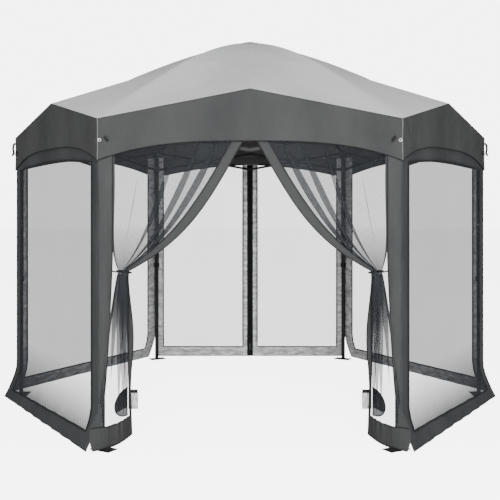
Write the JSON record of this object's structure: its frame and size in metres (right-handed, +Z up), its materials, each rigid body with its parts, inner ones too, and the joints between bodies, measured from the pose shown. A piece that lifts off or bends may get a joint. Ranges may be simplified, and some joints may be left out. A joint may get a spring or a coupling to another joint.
{
  "type": "screen house",
  "caption": "Hexagonal pop-up screen house: folding truss frame and domed roof poles under a peaked canopy, mesh walls with woven borders, and a tied-back zip doorway.",
  "frame": {"origin": "on the ground at the middle of the hexagon", "axes": "+Z up; -Y out through the open doorway; X across the doorway, through the left and right corners"},
  "size_m": [3.7612, 3.2573, 2.752],
  "materials": {
    "leg_coat": "satin black powder coat on square steel tube, with black moulded brackets",
    "moulded_black": "fine-grained black nylon",
    "bar_coat": "satin black powder coat on flat steel tube",
    "pole_coat": "satin black powder coat on rectangular steel tube",
    "canopy_cloth": "woven polyester, light grey top over a dark grey valance",
    "wall_mesh": "dark grey knitted insect mesh with woven borders",
    "door_mesh": "dark grey knitted insect mesh with a woven edge band",
    "zip_metal": "black coated zinc zip slider"
  },
  "bodies": {
    "upper_leg_right": {"upper_leg_right": "leg_coat"},
    "upper_leg_back_right": {"upper_leg_back_right": "leg_coat"},
    "upper_leg_back_left": {"upper_leg_back_left": "leg_coat", "wall_panels": "wall_mesh", "door_leaf_left": "door_mesh", "door_leaf_right": "door_mesh", "zip_slider": "zip_metal"},
    "upper_leg_left": {"upper_leg_left": "leg_coat"},
    "upper_leg_front_left": {"upper_leg_front_left": "leg_coat"},
    "upper_leg_front_right": {"upper_leg_front_right": "leg_coat"},
    "lower_leg_right": {"lower_leg_right": "leg_coat"},
    "lower_leg_back_right": {"lower_leg_back_right": "leg_coat"},
    "lower_leg_back_left": {"lower_leg_back_left": "leg_coat"},
    "lower_leg_left": {"lower_leg_left": "leg_coat"},
    "lower_leg_front_left": {"lower_leg_front_left": "leg_coat"},
    "lower_leg_front_right": {"lower_leg_front_right": "leg_coat"},
    "slider_right": {"slider_right": "moulded_black"},
    "slider_back_right": {"slider_back_right": "moulded_black"},
    "slider_back_left": {"slider_back_left": "moulded_black"},
    "slider_left": {"slider_left": "moulded_black"},
    "slider_front_left": {"slider_front_left": "moulded_black"},
    "slider_front_right": {"slider_front_right": "moulded_black"},
    "falling_bar_next_right": {"falling_bar_next_right": "bar_coat"},
    "falling_bar_next_back_right": {"falling_bar_next_back_right": "bar_coat"},
    "falling_bar_next_back_left": {"falling_bar_next_back_left": "bar_coat"},
    "falling_bar_next_left": {"falling_bar_next_left": "bar_coat"},
    "falling_bar_next_front_left": {"falling_bar_next_front_left": "bar_coat"},
    "falling_bar_next_front_right": {"falling_bar_next_front_right": "bar_coat"},
    "falling_bar_prev_right": {"falling_bar_prev_right": "bar_coat"},
    "falling_bar_prev_back_right": {"falling_bar_prev_back_right": "bar_coat"},
    "falling_bar_prev_back_left": {"falling_bar_prev_back_left": "bar_coat"},
    "falling_bar_prev_left": {"falling_bar_prev_left": "bar_coat"},
    "falling_bar_prev_front_left": {"falling_bar_prev_front_left": "bar_coat"},
    "falling_bar_prev_front_right": {"falling_bar_prev_front_right": "bar_coat"},
    "rising_bar_next_right": {"rising_bar_next_right": "bar_coat"},
    "rising_bar_next_back_right": {"rising_bar_next_back_right": "bar_coat"},
    "rising_bar_next_back_left": {"rising_bar_next_back_left": "bar_coat"},
    "rising_bar_next_left": {"rising_bar_next_left": "bar_coat"},
    "rising_bar_next_front_left": {"rising_bar_next_front_left": "bar_coat"},
    "rising_bar_next_front_right": {"rising_bar_next_front_right": "bar_coat"},
    "rising_bar_prev_right": {"rising_bar_prev_right": "bar_coat"},
    "rising_bar_prev_back_right": {"rising_bar_prev_back_right": "bar_coat"},
    "rising_bar_prev_back_left": {"rising_bar_prev_back_left": "bar_coat"},
    "rising_bar_prev_left": {"rising_bar_prev_left": "bar_coat"},
    "rising_bar_prev_front_left": {"rising_bar_prev_front_left": "bar_coat"},
    "rising_bar_prev_front_right": {"rising_bar_prev_front_right": "bar_coat"},
    "outer_pole_right": {"outer_pole_right": "pole_coat"},
    "outer_pole_back_right": {"outer_pole_back_right": "pole_coat"},
    "outer_pole_back_left": {"outer_pole_back_left": "pole_coat"},
    "outer_pole_left": {"outer_pole_left": "pole_coat"},
    "outer_pole_front_left": {"outer_pole_front_left": "pole_coat"},
    "outer_pole_front_right": {"outer_pole_front_right": "pole_coat"},
    "inner_pole_right": {"inner_pole_right": "pole_coat"},
    "inner_pole_back_right": {"inner_pole_back_right": "pole_coat"},
    "inner_pole_back_left": {"inner_pole_back_left": "pole_coat"},
    "inner_pole_left": {"inner_pole_left": "pole_coat"},
    "inner_pole_front_left": {"inner_pole_front_left": "pole_coat"},
    "inner_pole_front_right": {"inner_pole_front_right": "pole_coat"},
    "roof_hub": {"roof_hub": "moulded_black", "canopy": "canopy_cloth"}
  },
  "joints": [
    {"name": "frame_fold", "type": "hinge", "parent": "upper_leg_back_left", "child": "outer_pole_back_left", "pos_m": [-0.8725, 1.51121, 1.965], "axis": [0.866, 0.5, 0], "range_deg": [0, 115.34], "deforming": ["canopy", "wall_panels", "door_leaf_left", "door_leaf_right", "zip_slider"]},
    {"name": "elbow_back_left", "type": "hinge", "parent": "outer_pole_back_left", "child": "inner_pole_back_left", "pos_m": [-0.45, 0.77942, 2.44], "axis": [-0.866, -0.5, 0], "range_deg": [0, 186.92]},
    {"name": "hub_pivot_back_left", "type": "hinge", "parent": "inner_pole_back_left", "child": "roof_hub", "pos_m": [-0.03, 0.05196, 2.698], "axis": [0.866, 0.5, 0], "range_deg": [0, 71.58]},
    {"name": "hub_pivot_right", "type": "hinge", "parent": "roof_hub", "child": "inner_pole_right", "pos_m": [0.06, 0, 2.698], "axis": [0, 1, 0], "range_deg": [0, 71.58]},
    {"name": "elbow_right", "type": "hinge", "parent": "inner_pole_right", "child": "outer_pole_right", "pos_m": [0.9, 0, 2.44], "axis": [0, -1, 0], "range_deg": [0, 186.92]},
    {"name": "leg_pivot_right", "type": "hinge", "parent": "outer_pole_right", "child": "upper_leg_right", "pos_m": [1.745, 0, 1.965], "axis": [0, 1, 0], "range_deg": [0, 115.36]},
    {"name": "hub_pivot_back_right", "type": "hinge", "parent": "roof_hub", "child": "inner_pole_back_right", "pos_m": [0.03, 0.05196, 2.698], "axis": [-0.866, 0.5, 0], "range_deg": [0, 71.58]},
    {"name": "elbow_back_right", "type": "hinge", "parent": "inner_pole_back_right", "child": "outer_pole_back_right", "pos_m": [0.45, 0.77942, 2.44], "axis": [0.866, -0.5, 0], "range_deg": [0, 186.92]},
    {"name": "leg_pivot_back_right", "type": "hinge", "parent": "outer_pole_back_right", "child": "upper_leg_back_right", "pos_m": [0.8725, 1.51121, 1.965], "axis": [-0.866, 0.5, 0], "range_deg": [0, 115.36]},
    {"name": "hub_pivot_left", "type": "hinge", "parent": "roof_hub", "child": "inner_pole_left", "pos_m": [-0.06, 0, 2.698], "axis": [0, -1, 0], "range_deg": [0, 71.58]},
    {"name": "elbow_left", "type": "hinge", "parent": "inner_pole_left", "child": "outer_pole_left", "pos_m": [-0.9, 0, 2.44], "axis": [0, 1, 0], "range_deg": [0, 186.92]},
    {"name": "leg_pivot_left", "type": "hinge", "parent": "outer_pole_left", "child": "upper_leg_left", "pos_m": [-1.745, 0, 1.965], "axis": [0, -1, 0], "range_deg": [0, 115.36]},
    {"name": "hub_pivot_front_left", "type": "hinge", "parent": "roof_hub", "child": "inner_pole_front_left", "pos_m": [-0.03, -0.05196, 2.698], "axis": [0.866, -0.5, 0], "range_deg": [0, 71.58]},
    {"name": "elbow_front_left", "type": "hinge", "parent": "inner_pole_front_left", "child": "outer_pole_front_left", "pos_m": [-0.45, -0.77942, 2.44], "axis": [-0.866, 0.5, 0], "range_deg": [0, 186.92]},
    {"name": "leg_pivot_front_left", "type": "hinge", "parent": "outer_pole_front_left", "child": "upper_leg_front_left", "pos_m": [-0.8725, -1.51121, 1.965], "axis": [0.866, -0.5, 0], "range_deg": [0, 115.36]},
    {"name": "hub_pivot_front_right", "type": "hinge", "parent": "roof_hub", "child": "inner_pole_front_right", "pos_m": [0.03, -0.05196, 2.698], "axis": [0.866, 0.5, 0], "range_deg": [0, 71.58]},
    {"name": "elbow_front_right", "type": "hinge", "parent": "inner_pole_front_right", "child": "outer_pole_front_right", "pos_m": [0.45, -0.77942, 2.44], "axis": [-0.866, -0.5, 0], "range_deg": [0, 186.92]},
    {"name": "leg_pivot_front_right", "type": "hinge", "parent": "outer_pole_front_right", "child": "upper_leg_front_right", "pos_m": [0.8725, -1.51121, 1.965], "axis": [0.866, 0.5, 0], "range_deg": [0, 115.36]},
    {"name": "falling_bar_pivot_next_right", "type": "hinge", "parent": "upper_leg_right", "child": "falling_bar_next_right", "pos_m": [1.764, 0.04503, 1.965], "axis": [-0.866, -0.5, 0], "range_deg": [0, 76.93]},
    {"name": "crossing_pivot_next_right", "type": "hinge", "parent": "falling_bar_next_right", "child": "rising_bar_next_right", "pos_m": [1.55325, 0.41006, 1.89], "axis": [0.866, 0.5, 0], "range_deg": [0, 153.84]},
    {"name": "falling_bar_pivot_prev_right", "type": "hinge", "parent": "upper_leg_right", "child": "falling_bar_prev_right", "pos_m": [1.764, -0.04503, 1.965], "axis": [0.866, -0.5, 0], "range_deg": [0, 76.93]},
    {"name": "crossing_pivot_prev_right", "type": "hinge", "parent": "falling_bar_prev_right", "child": "rising_bar_prev_right", "pos_m": [1.55325, -0.41006, 1.89], "axis": [-0.866, 0.5, 0], "range_deg": [0, 153.84]},
    {"name": "slider_pivot_right", "type": "hinge", "parent": "rising_bar_next_right", "child": "slider_right", "pos_m": [1.764, 0.04503, 1.815], "axis": [-0.866, -0.5, 0], "range_deg": [0, 76.93]},
    {"name": "leg_telescope_right", "type": "slide", "parent": "upper_leg_right", "child": "lower_leg_right", "axis": [0, 0, 1], "range_m": [0, 0.85]},
    {"name": "falling_bar_pivot_next_back_right", "type": "hinge", "parent": "upper_leg_back_right", "child": "falling_bar_next_back_right", "pos_m": [0.843, 1.55019, 1.965], "axis": [0, -1, 0], "range_deg": [0, 76.93]},
    {"name": "crossing_pivot_next_back_right", "type": "hinge", "parent": "falling_bar_next_back_right", "child": "rising_bar_next_back_right", "pos_m": [0.4215, 1.55019, 1.89], "axis": [0, 1, 0], "range_deg": [0, 153.84]},
    {"name": "falling_bar_pivot_prev_back_right", "type": "hinge", "parent": "upper_leg_back_right", "child": "falling_bar_prev_back_right", "pos_m": [0.921, 1.50515, 1.965], "axis": [0.866, 0.5, 0], "range_deg": [0, 76.93]},
    {"name": "crossing_pivot_prev_back_right", "type": "hinge", "parent": "falling_bar_prev_back_right", "child": "rising_bar_prev_back_right", "pos_m": [1.13175, 1.14012, 1.89], "axis": [-0.866, -0.5, 0], "range_deg": [0, 153.84]},
    {"name": "slider_pivot_back_right", "type": "hinge", "parent": "rising_bar_next_back_right", "child": "slider_back_right", "pos_m": [0.843, 1.55019, 1.815], "axis": [0, -1, 0], "range_deg": [0, 76.93]},
    {"name": "leg_telescope_back_right", "type": "slide", "parent": "upper_leg_back_right", "child": "lower_leg_back_right", "axis": [0, 0, 1], "range_m": [0, 0.85]},
    {"name": "falling_bar_pivot_next_back_left", "type": "hinge", "parent": "upper_leg_back_left", "child": "falling_bar_next_back_left", "pos_m": [-0.921, 1.50515, 1.965], "axis": [0.866, -0.5, 0], "range_deg": [0, 76.93]},
    {"name": "crossing_pivot_next_back_left", "type": "hinge", "parent": "falling_bar_next_back_left", "child": "rising_bar_next_back_left", "pos_m": [-1.13175, 1.14012, 1.89], "axis": [-0.866, 0.5, 0], "range_deg": [0, 153.84]},
    {"name": "falling_bar_pivot_prev_back_left", "type": "hinge", "parent": "upper_leg_back_left", "child": "falling_bar_prev_back_left", "pos_m": [-0.843, 1.55019, 1.965], "axis": [0, 1, 0], "range_deg": [0, 76.93]},
    {"name": "crossing_pivot_prev_back_left", "type": "hinge", "parent": "falling_bar_prev_back_left", "child": "rising_bar_prev_back_left", "pos_m": [-0.4215, 1.55019, 1.89], "axis": [0, -1, 0], "range_deg": [0, 153.84]},
    {"name": "slider_pivot_back_left", "type": "hinge", "parent": "rising_bar_next_back_left", "child": "slider_back_left", "pos_m": [-0.921, 1.50515, 1.815], "axis": [0.866, -0.5, 0], "range_deg": [0, 76.93]},
    {"name": "leg_telescope_back_left", "type": "slide", "parent": "upper_leg_back_left", "child": "lower_leg_back_left", "axis": [0, 0, 1], "range_m": [0, 0.85]},
    {"name": "falling_bar_pivot_next_left", "type": "hinge", "parent": "upper_leg_left", "child": "falling_bar_next_left", "pos_m": [-1.764, -0.04503, 1.965], "axis": [0.866, 0.5, 0], "range_deg": [0, 76.93]},
    {"name": "crossing_pivot_next_left", "type": "hinge", "parent": "falling_bar_next_left", "child": "rising_bar_next_left", "pos_m": [-1.55325, -0.41006, 1.89], "axis": [-0.866, -0.5, 0], "range_deg": [0, 153.84]},
    {"name": "falling_bar_pivot_prev_left", "type": "hinge", "parent": "upper_leg_left", "child": "falling_bar_prev_left", "pos_m": [-1.764, 0.04503, 1.965], "axis": [-0.866, 0.5, 0], "range_deg": [0, 76.93]},
    {"name": "crossing_pivot_prev_left", "type": "hinge", "parent": "falling_bar_prev_left", "child": "rising_bar_prev_left", "pos_m": [-1.55325, 0.41006, 1.89], "axis": [0.866, -0.5, 0], "range_deg": [0, 153.84]},
    {"name": "slider_pivot_left", "type": "hinge", "parent": "rising_bar_next_left", "child": "slider_left", "pos_m": [-1.764, -0.04503, 1.815], "axis": [0.866, 0.5, 0], "range_deg": [0, 76.93]},
    {"name": "leg_telescope_left", "type": "slide", "parent": "upper_leg_left", "child": "lower_leg_left", "axis": [0, 0, 1], "range_m": [0, 0.85]},
    {"name": "falling_bar_pivot_next_front_left", "type": "hinge", "parent": "upper_leg_front_left", "child": "falling_bar_next_front_left", "pos_m": [-0.843, -1.55019, 1.965], "axis": [0, 1, 0], "range_deg": [0, 76.93]},
    {"name": "crossing_pivot_next_front_left", "type": "hinge", "parent": "falling_bar_next_front_left", "child": "rising_bar_next_front_left", "pos_m": [-0.4215, -1.55019, 1.89], "axis": [0, -1, 0], "range_deg": [0, 153.84]},
    {"name": "falling_bar_pivot_prev_front_left", "type": "hinge", "parent": "upper_leg_front_left", "child": "falling_bar_prev_front_left", "pos_m": [-0.921, -1.50515, 1.965], "axis": [-0.866, -0.5, 0], "range_deg": [0, 76.93]},
    {"name": "crossing_pivot_prev_front_left", "type": "hinge", "parent": "falling_bar_prev_front_left", "child": "rising_bar_prev_front_left", "pos_m": [-1.13175, -1.14012, 1.89], "axis": [0.866, 0.5, 0], "range_deg": [0, 153.84]},
    {"name": "slider_pivot_front_left", "type": "hinge", "parent": "rising_bar_next_front_left", "child": "slider_front_left", "pos_m": [-0.843, -1.55019, 1.815], "axis": [0, 1, 0], "range_deg": [0, 76.93]},
    {"name": "leg_telescope_front_left", "type": "slide", "parent": "upper_leg_front_left", "child": "lower_leg_front_left", "axis": [0, 0, 1], "range_m": [0, 0.85]},
    {"name": "falling_bar_pivot_next_front_right", "type": "hinge", "parent": "upper_leg_front_right", "child": "falling_bar_next_front_right", "pos_m": [0.921, -1.50515, 1.965], "axis": [-0.866, 0.5, 0], "range_deg": [0, 76.93]},
    {"name": "crossing_pivot_next_front_right", "type": "hinge", "parent": "falling_bar_next_front_right", "child": "rising_bar_next_front_right", "pos_m": [1.13175, -1.14012, 1.89], "axis": [0.866, -0.5, 0], "range_deg": [0, 153.84]},
    {"name": "falling_bar_pivot_prev_front_right", "type": "hinge", "parent": "upper_leg_front_right", "child": "falling_bar_prev_front_right", "pos_m": [0.843, -1.55019, 1.965], "axis": [0, -1, 0], "range_deg": [0, 76.93]},
    {"name": "crossing_pivot_prev_front_right", "type": "hinge", "parent": "falling_bar_prev_front_right", "child": "rising_bar_prev_front_right", "pos_m": [0.4215, -1.55019, 1.89], "axis": [0, 1, 0], "range_deg": [0, 153.84]},
    {"name": "slider_pivot_front_right", "type": "hinge", "parent": "rising_bar_next_front_right", "child": "slider_front_right", "pos_m": [0.921, -1.50515, 1.815], "axis": [-0.866, 0.5, 0], "range_deg": [0, 76.93]},
    {"name": "leg_telescope_front_right", "type": "slide", "parent": "upper_leg_front_right", "child": "lower_leg_front_right", "axis": [0, 0, 1], "range_m": [0, 0.85]}
  ],
  "couplings": [
    {"joint": "elbow_back_left", "follows": "frame_fold", "ratio": 1.6204},
    {"joint": "hub_pivot_back_left", "follows": "frame_fold", "ratio": 0.62039},
    {"joint": "hub_pivot_right", "follows": "frame_fold", "ratio": 0.62039},
    {"joint": "elbow_right", "follows": "frame_fold", "ratio": 1.6204},
    {"joint": "leg_pivot_right", "follows": "frame_fold", "ratio": 1},
    {"joint": "hub_pivot_back_right", "follows": "frame_fold", "ratio": 0.62039},
    {"joint": "elbow_back_right", "follows": "frame_fold", "ratio": 1.6204},
    {"joint": "leg_pivot_back_right", "follows": "frame_fold", "ratio": 1},
    {"joint": "hub_pivot_left", "follows": "frame_fold", "ratio": 0.62039},
    {"joint": "elbow_left", "follows": "frame_fold", "ratio": 1.6204},
    {"joint": "leg_pivot_left", "follows": "frame_fold", "ratio": 1},
    {"joint": "hub_pivot_front_left", "follows": "frame_fold", "ratio": 0.62039},
    {"joint": "elbow_front_left", "follows": "frame_fold", "ratio": 1.6204},
    {"joint": "leg_pivot_front_left", "follows": "frame_fold", "ratio": 1},
    {"joint": "hub_pivot_front_right", "follows": "frame_fold", "ratio": 0.62039},
    {"joint": "elbow_front_right", "follows": "frame_fold", "ratio": 1.6204},
    {"joint": "leg_pivot_front_right", "follows": "frame_fold", "ratio": 1},
    {"joint": "falling_bar_pivot_next_right", "follows": "frame_fold", "ratio": 0.66681},
    {"joint": "crossing_pivot_next_right", "follows": "frame_fold", "ratio": 1.3336},
    {"joint": "falling_bar_pivot_prev_right", "follows": "frame_fold", "ratio": 0.66681},
    {"joint": "crossing_pivot_prev_right", "follows": "frame_fold", "ratio": 1.3336},
    {"joint": "slider_pivot_right", "follows": "frame_fold", "ratio": 0.66681},
    {"joint": "falling_bar_pivot_next_back_right", "follows": "frame_fold", "ratio": 0.66681},
    {"joint": "crossing_pivot_next_back_right", "follows": "frame_fold", "ratio": 1.3336},
    {"joint": "falling_bar_pivot_prev_back_right", "follows": "frame_fold", "ratio": 0.66681},
    {"joint": "crossing_pivot_prev_back_right", "follows": "frame_fold", "ratio": 1.3336},
    {"joint": "slider_pivot_back_right", "follows": "frame_fold", "ratio": 0.66681},
    {"joint": "falling_bar_pivot_next_back_left", "follows": "frame_fold", "ratio": 0.66681},
    {"joint": "crossing_pivot_next_back_left", "follows": "frame_fold", "ratio": 1.3336},
    {"joint": "falling_bar_pivot_prev_back_left", "follows": "frame_fold", "ratio": 0.66681},
    {"joint": "crossing_pivot_prev_back_left", "follows": "frame_fold", "ratio": 1.3336},
    {"joint": "slider_pivot_back_left", "follows": "frame_fold", "ratio": 0.66681},
    {"joint": "falling_bar_pivot_next_left", "follows": "frame_fold", "ratio": 0.66681},
    {"joint": "crossing_pivot_next_left", "follows": "frame_fold", "ratio": 1.3336},
    {"joint": "falling_bar_pivot_prev_left", "follows": "frame_fold", "ratio": 0.66681},
    {"joint": "crossing_pivot_prev_left", "follows": "frame_fold", "ratio": 1.3336},
    {"joint": "slider_pivot_left", "follows": "frame_fold", "ratio": 0.66681},
    {"joint": "falling_bar_pivot_next_front_left", "follows": "frame_fold", "ratio": 0.66681},
    {"joint": "crossing_pivot_next_front_left", "follows": "frame_fold", "ratio": 1.3336},
    {"joint": "falling_bar_pivot_prev_front_left", "follows": "frame_fold", "ratio": 0.66681},
    {"joint": "crossing_pivot_prev_front_left", "follows": "frame_fold", "ratio": 1.3336},
    {"joint": "slider_pivot_front_left", "follows": "frame_fold", "ratio": 0.66681},
    {"joint": "falling_bar_pivot_next_front_right", "follows": "frame_fold", "ratio": 0.66681},
    {"joint": "crossing_pivot_next_front_right", "follows": "frame_fold", "ratio": 1.3336},
    {"joint": "falling_bar_pivot_prev_front_right", "follows": "frame_fold", "ratio": 0.66681},
    {"joint": "crossing_pivot_prev_front_right", "follows": "frame_fold", "ratio": 1.3336},
    {"joint": "slider_pivot_front_right", "follows": "frame_fold", "ratio": 0.66681}
  ]
}
